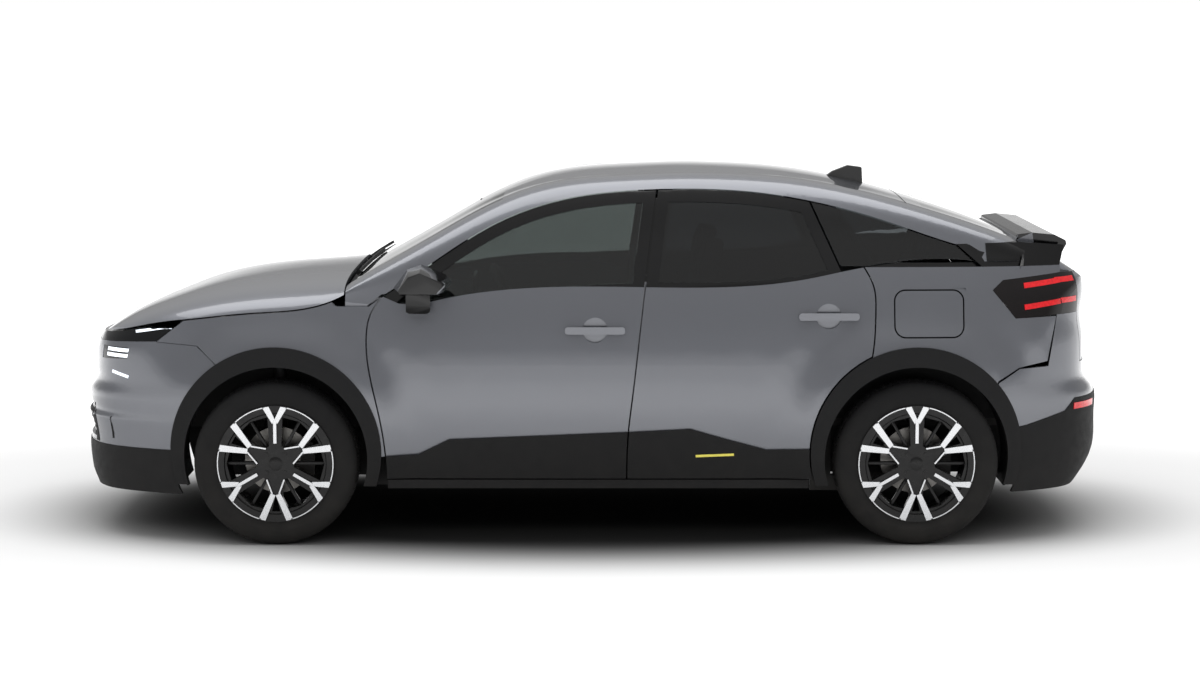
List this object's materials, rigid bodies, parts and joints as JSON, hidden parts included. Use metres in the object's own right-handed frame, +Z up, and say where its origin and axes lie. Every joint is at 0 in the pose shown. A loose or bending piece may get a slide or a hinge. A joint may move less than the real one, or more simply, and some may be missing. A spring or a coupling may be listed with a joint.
{
  "type": "five-door hatchback car",
  "caption": "Crossover hatchback with a sloping coupe roof, opening doors, bonnet, tailgate and fuel flap, steered front wheels and a furnished cabin.",
  "frame": {"origin": "on the ground below the middle of the car's length and width", "axes": "+X to the rear along the length, +Y to the car's right, +Z up"},
  "size_m": [4.3765, 2.11, 1.5479],
  "materials": {
    "alloy": "diamond cut over black",
    "black_trim": "grained",
    "body_paint": "metallic clear coat",
    "chassis": "black coat",
    "clear_glass": "tinted",
    "cloth": "woven",
    "dark_glass": "privacy tint",
    "engine": "cast",
    "exhaust": "heat tinted",
    "fascia": "soft grain",
    "gloss_trim": "piano black",
    "lamp": "clear lens over dark housing",
    "structure": "satin primer",
    "tail_lamp": "smoked red",
    "tyre": "moulded"
  },
  "bodies": {
    "body": {"floor_pan": "structure", "side_frames": "body_paint", "roof_panel": "body_paint", "front_fenders": "body_paint", "front_bumper": "body_paint", "rear_bumper": "body_paint", "bumper_trim": "black_trim", "arch_trims": "black_trim", "windscreen": "clear_glass", "quarter_windows": "dark_glass", "headlamps": "lamp", "tail_lamps": "tail_lamp", "engine_block": "engine", "front_subframe": "chassis", "rear_axle": "chassis", "exhaust": "exhaust", "front_seats": "cloth", "rear_seat": "cloth", "dashboard": "fascia", "cowl": "black_trim"},
    "bonnet": {"bonnet": "body_paint"},
    "tailgate": {"tailgate": "body_paint", "rear_window": "dark_glass"},
    "fuel_flap": {"fuel_flap": "body_paint"},
    "steering_wheel": {"steering_wheel": "fascia"},
    "left_front_door": {"left_front_door": "body_paint", "left_front_door_glass": "clear_glass", "left_front_door_cladding": "black_trim", "left_mirror": "gloss_trim"},
    "left_rear_door": {"left_rear_door": "body_paint", "left_rear_door_glass": "dark_glass", "left_rear_door_cladding": "black_trim"},
    "left_steer": {"left_knuckle": "chassis"},
    "left_front_wheel": {"left_front_wheel": "alloy", "left_front_tyre": "tyre"},
    "left_rear_wheel": {"left_rear_wheel": "alloy", "left_rear_tyre": "tyre"},
    "right_front_door": {"right_front_door": "body_paint", "right_front_door_glass": "clear_glass", "right_front_door_cladding": "black_trim", "right_mirror": "gloss_trim"},
    "right_rear_door": {"right_rear_door": "body_paint", "right_rear_door_glass": "dark_glass", "right_rear_door_cladding": "black_trim"},
    "right_steer": {"right_knuckle": "chassis"},
    "right_front_wheel": {"right_front_wheel": "alloy", "right_front_tyre": "tyre"},
    "right_rear_wheel": {"right_rear_wheel": "alloy", "right_rear_tyre": "tyre"}
  },
  "joints": [
    {"name": "bonnet_hinge", "type": "hinge", "parent": "body", "child": "bonnet", "pos_m": [-1.028, 0, 1.112], "axis": [0, 1, 0], "range_deg": [0, 55]},
    {"name": "tailgate_hinge", "type": "hinge", "parent": "body", "child": "tailgate", "pos_m": [1.327, 0, 1.428], "axis": [0, -1, 0], "range_deg": [0, 75]},
    {"name": "fuel_flap_hinge", "type": "hinge", "parent": "body", "child": "fuel_flap", "pos_m": [1.258, -0.872, 0.97], "axis": [0, 0, -1], "range_deg": [0, 100]},
    {"name": "left_front_door_hinge", "type": "hinge", "parent": "body", "child": "left_front_door", "pos_m": [-0.936, -0.889, 0.7], "axis": [0, 0, -1], "range_deg": [0, 65]},
    {"name": "left_rear_door_hinge", "type": "hinge", "parent": "body", "child": "left_rear_door", "pos_m": [0.155, -0.889, 0.7], "axis": [0, 0, -1], "range_deg": [0, 65]},
    {"name": "left_steer", "type": "hinge", "parent": "body", "child": "left_steer", "pos_m": [-1.317, -0.64, 0.345], "axis": [0, 0, 1], "range_deg": [-35, 35]},
    {"name": "left_front_wheel_spin", "type": "hinge", "parent": "left_steer", "child": "left_front_wheel", "pos_m": [-1.317, -0.78, 0.345], "axis": [0, 1, 0], "continuous": true},
    {"name": "left_rear_wheel_spin", "type": "hinge", "parent": "body", "child": "left_rear_wheel", "pos_m": [1.353, -0.78, 0.345], "axis": [0, 1, 0], "continuous": true},
    {"name": "right_front_door_hinge", "type": "hinge", "parent": "body", "child": "right_front_door", "pos_m": [-0.936, 0.889, 0.7], "axis": [0, 0, 1], "range_deg": [0, 65]},
    {"name": "right_rear_door_hinge", "type": "hinge", "parent": "body", "child": "right_rear_door", "pos_m": [0.155, 0.889, 0.7], "axis": [0, 0, 1], "range_deg": [0, 65]},
    {"name": "right_steer", "type": "hinge", "parent": "body", "child": "right_steer", "pos_m": [-1.317, 0.64, 0.345], "axis": [0, 0, 1], "range_deg": [-35, 35]},
    {"name": "right_front_wheel_spin", "type": "hinge", "parent": "right_steer", "child": "right_front_wheel", "pos_m": [-1.317, 0.78, 0.345], "axis": [0, 1, 0], "continuous": true},
    {"name": "right_rear_wheel_spin", "type": "hinge", "parent": "body", "child": "right_rear_wheel", "pos_m": [1.353, 0.78, 0.345], "axis": [0, 1, 0], "continuous": true},
    {"name": "steering_wheel_turn", "type": "hinge", "parent": "body", "child": "steering_wheel", "pos_m": [-0.52, -0.37, 0.88], "axis": [0.9063, 0, 0.4226], "range_deg": [-490, 490]}
  ],
  "couplings": [
    {"joint": "right_steer", "follows": "left_steer", "ratio": 1},
    {"joint": "steering_wheel_turn", "follows": "left_steer", "ratio": 14}
  ]
}
